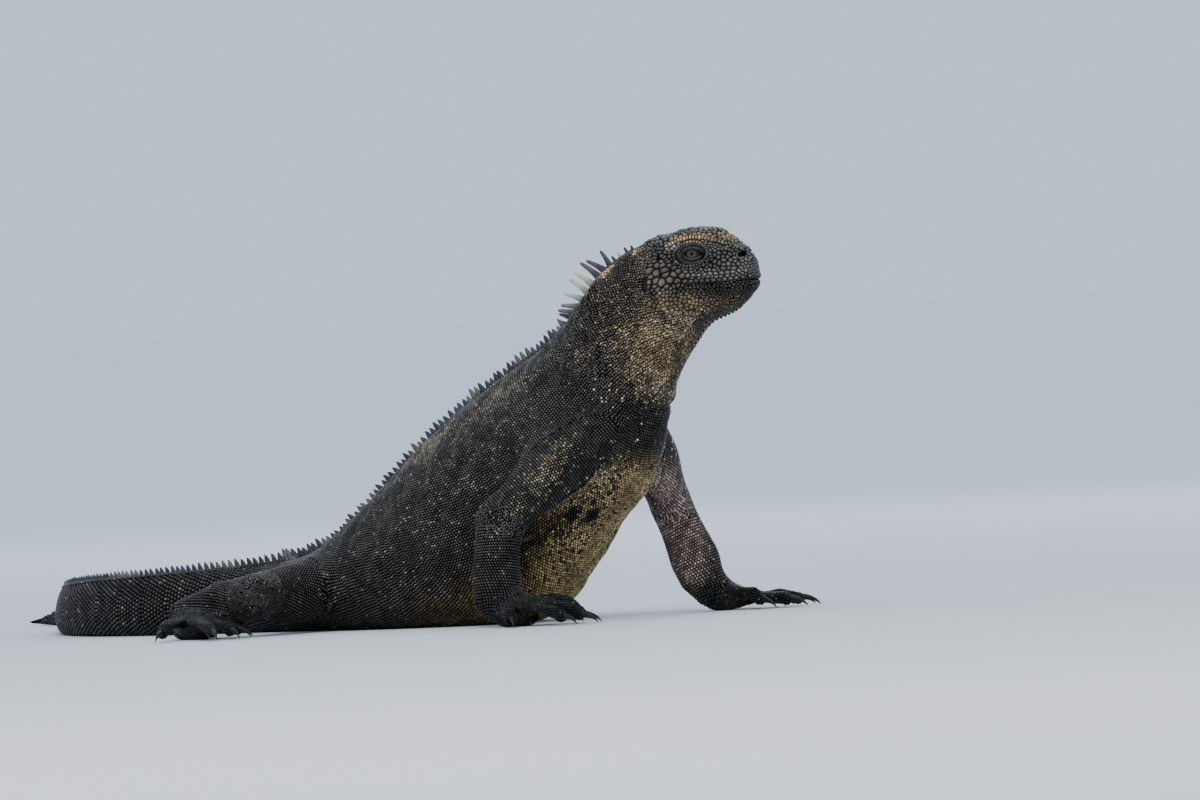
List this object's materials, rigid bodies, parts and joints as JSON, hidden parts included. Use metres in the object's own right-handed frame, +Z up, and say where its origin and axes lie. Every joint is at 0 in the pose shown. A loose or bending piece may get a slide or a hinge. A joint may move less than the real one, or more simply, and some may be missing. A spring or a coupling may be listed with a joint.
{
  "type": "marine iguana model",
  "caption": "Life-size still marine iguana propped on its forelegs, belly, hind feet and tail on the ground, with a spiny crest.",
  "frame": {"origin": "middle of the model's outline on the ground, at ground level", "axes": "+X forward along the trunk, +Y to the animal's left, +Z up"},
  "size_m": [0.591, 0.3944, 0.1868],
  "materials": {
    "skin": "dry keeled scales, charcoal with pale tips",
    "throat_skin": "fine granular scales, dusty tan over charcoal",
    "foot_skin": "smooth black scales, satin",
    "eye": "wet, clear",
    "claw": "polished horn"
  },
  "bodies": {
    "root": {"claw_foot_left_1": "claw", "claw_foot_left_2": "claw", "claw_foot_left_3": "claw", "claw_foot_left_4": "claw", "claw_foot_left_5": "claw", "claw_foot_right_1": "claw", "claw_foot_right_2": "claw", "claw_foot_right_3": "claw", "claw_foot_right_4": "claw", "claw_foot_right_5": "claw", "claw_hand_left_1": "claw", "claw_hand_left_2": "claw", "claw_hand_left_3": "claw", "claw_hand_left_4": "claw", "claw_hand_left_5": "claw", "claw_hand_right_1": "claw", "claw_hand_right_2": "claw", "claw_hand_right_3": "claw", "claw_hand_right_4": "claw", "claw_hand_right_5": "claw", "eye_left": "eye", "eye_right": "eye", "foot_left": "foot_skin", "foot_right": "foot_skin", "forearm_left": "skin", "forearm_right": "skin", "hand_left": "foot_skin", "hand_right": "foot_skin", "head": "skin", "neck": "throat_skin", "shank_left": "skin", "shank_right": "skin", "tail_base": "skin", "tail_middle": "skin", "tail_rear": "skin", "tail_tip": "skin", "thigh_left": "skin", "thigh_right": "skin", "torso": "skin", "upper_arm_left": "skin", "upper_arm_right": "skin"}
  },
  "joints": []
}
